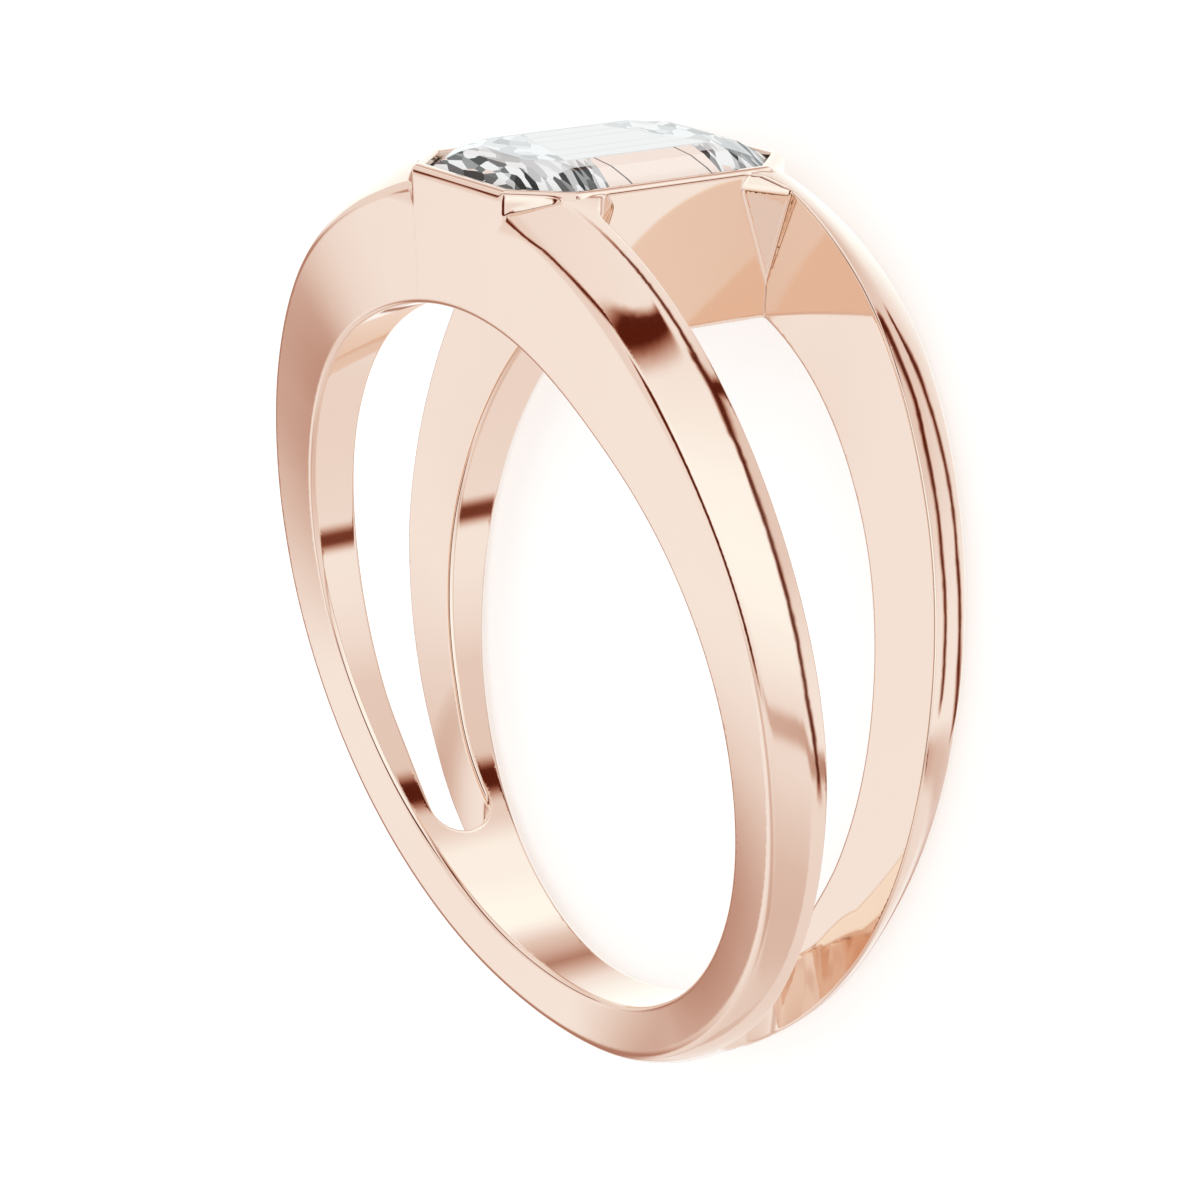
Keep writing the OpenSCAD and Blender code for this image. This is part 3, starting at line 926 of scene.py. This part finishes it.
def seam(tree, sky):
    """The seam between the front and the back panels, over the top."""
    middle = tree.add(0.105, tree.mul(tree.larger(tree.sub(-0.2, sky.z), 0.0), 0.25))
    across = tree.step(tree.size(tree.sub(sky.y, middle)), 0.044, 0.010)
    return tree.mul(across, tree.mul(tree.step(sky.z, -0.58, -0.48), tree.step(sky.x, -0.5, -0.1)))


def ground_gap(tree, sky):
    """The gap above the ground, a little lower at the back."""
    middle = tree.mix(110.5 / 180, 116.0 / 180, tree.step(sky.y, 0.0, 0.1))
    across = tree.step(tree.size(tree.sub(sky.off_top, middle)), 5.0 / 180, 1.0 / 180)
    along = tree.add(tree.calc("DIVIDE", sky.round_about, 360.0), 0.5)
    return tree.mul(across, tree.curve(along, GROUND_GAP))


def upright_gap(tree, sky, phi, core, fade, top, bottom, dark):
    """A gap of the same width at every height, with soft ends of 4 degrees."""
    level = tree.calc("SQRT", tree.larger(tree.sub(1.0, tree.mul(sky.z, sky.z)), 0.0))
    away = tree.size(tree.sub(sky.round_about, phi))
    away = tree.mul(tree.smaller(away, tree.sub(360.0, away)), level)
    ends = tree.mul(tree.step(sky.off_top, (top - 4) / 180, (top + 4) / 180),
                    tree.step(sky.off_top, (bottom + 4) / 180, (bottom - 4) / 180))
    return tree.mul(tree.mul(tree.step(away, fade, core), ends), dark)


def wide_gap(tree, sky):
    """The wide gap over the front, sharp above and soft below, which rises towards the viewer."""
    nearer = tree.mul(tree.add(sky.round_about, 50.0), 1 / 180)
    top = tree.sub(14.7 / 180, tree.mul(nearer, 0.12))
    low = tree.sub(31.5 / 180, tree.mul(nearer, 0.21))
    height = tree.mul(tree.step(tree.sub(sky.off_top, top), -2.5 / 180, 2.5 / 180),
                      tree.step(tree.sub(sky.off_top, low), 6.0 / 180, -7.0 / 180))
    ends = tree.mul(tree.step(sky.round_about, -105.0, -72.0), tree.step(sky.round_about, 2.0, -12.0))
    return tree.mul(height, ends)


def direction_of(off_top, round_about):
    a, b = math.radians(off_top), math.radians(round_about)
    return Vector((math.sin(a) * math.cos(b), math.sin(a) * math.sin(b), math.cos(a)))


def bar(tree, own, start, end):
    """1 along the line from one point to another, with the half width and soft edge of each."""
    a, b = direction_of(*start[:2]), direction_of(*end[:2])
    offset = tree.vector("SUBTRACT", own, a)
    along = tree.mul(tree.dot(offset, b - a), 1 / (b - a).length_squared)
    along = tree.smaller(tree.larger(along, 0.0), 1.0)
    away = tree.vector("SUBTRACT", offset, tree.vector("SCALE", tuple(b - a), along))
    away = tree.mul(tree.vector("LENGTH", away, out="Value"), 180 / math.pi)
    return tree.step(away, tree.mix(start[3], end[3], along), tree.mix(start[2], end[2], along))


def make_world():
    """White studio panels with dark gaps between them, by direction from the upright ring."""
    world = bpy.data.worlds.new("studio")
    bpy.context.scene.world = world
    tree = Tree(world)
    direction = tree.nodes.new("ShaderNodeTexCoord").outputs["Generated"]
    turn = POSE.to_3x3() * (1 / MM)
    x, y, z = (tree.dot(direction, turn @ Vector(axis)) for axis in ((1, 0, 0), (0, 1, 0), (0, 0, 1)))
    off_top = tree.calc("DIVIDE", tree.calc("ARCCOSINE", z), math.pi)
    round_about = tree.mul(tree.calc("ARCTAN2", y, x), 180 / math.pi)
    sky = Sky(x, y, z, off_top, round_about)
    own = tree.nodes.new("ShaderNodeCombineXYZ")
    for k, value in enumerate((x, y, z)):
        tree.put(own, k, value)
    own = own.outputs[0]

    dark = tree.larger(tree.larger(seam(tree, sky), ground_gap(tree, sky)), wide_gap(tree, sky))
    for gap in UPRIGHT_GAPS:
        dark = tree.larger(dark, upright_gap(tree, sky, *gap))
    for line in DARK_LINES:
        for start, end in zip(line, line[1:]):
            dark = tree.larger(dark, bar(tree, own, start, end))
    level = tree.add(panels(tree, sky), tree.mul(bar(tree, own, *BRIGHT_LINE), 0.30))
    # Only mirrored once do the gaps stay this dark
    depth = tree.nodes.new("ShaderNodeLightPath").outputs["Ray Depth"]
    dark = tree.mul(dark, tree.mix(1.0, 0.25, tree.over(depth, 2.5)))
    level = tree.mix(level, 0.015, dark)

    # Dark tones are warm, as polished rose gold shows them
    above = tree.larger(tree.sub(level, 1.0), 0.0)
    below = tree.smaller(level, 1.0)
    colour = tree.nodes.new("ShaderNodeCombineColor")
    tree.put(colour, 0, tree.add(tree.calc("POWER", below, 0.55), tree.mul(above, 0.5)))
    tree.put(colour, 1, level)
    tree.put(colour, 2, tree.add(tree.calc("POWER", below, 1.2), above))

    # The backdrop, and what lights the floor, is plain white
    path = tree.nodes.new("ShaderNodeLightPath")
    panel, plain = tree.nodes["Background"], tree.nodes.new("ShaderNodeBackground")
    tree.put(panel, "Color", colour.outputs[0])
    tree.put(plain, "Color", (1, 1, 1, 1))
    blend = tree.nodes.new("ShaderNodeMixShader")
    tree.put(blend, 0, tree.larger(path.outputs["Is Camera Ray"], path.outputs["Is Diffuse Ray"]))
    tree.put(blend, 1, panel.outputs[0])
    tree.put(blend, 2, plain.outputs[0])
    tree.put(tree.nodes["World Output"], "Surface", blend.outputs[0])
    world.cycles.sampling_method = "NONE"


floor = make_floor()
make_world()
bpy.context.scene.view_settings.view_transform = "Standard"
floor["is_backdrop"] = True

bpy.context.view_layer.update()
visual_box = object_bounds()
as_lists = lambda b: [[float(v) for v in corner] for corner in b]
{"cad": as_lists(cad_box), "visual": as_lists(visual_box)}
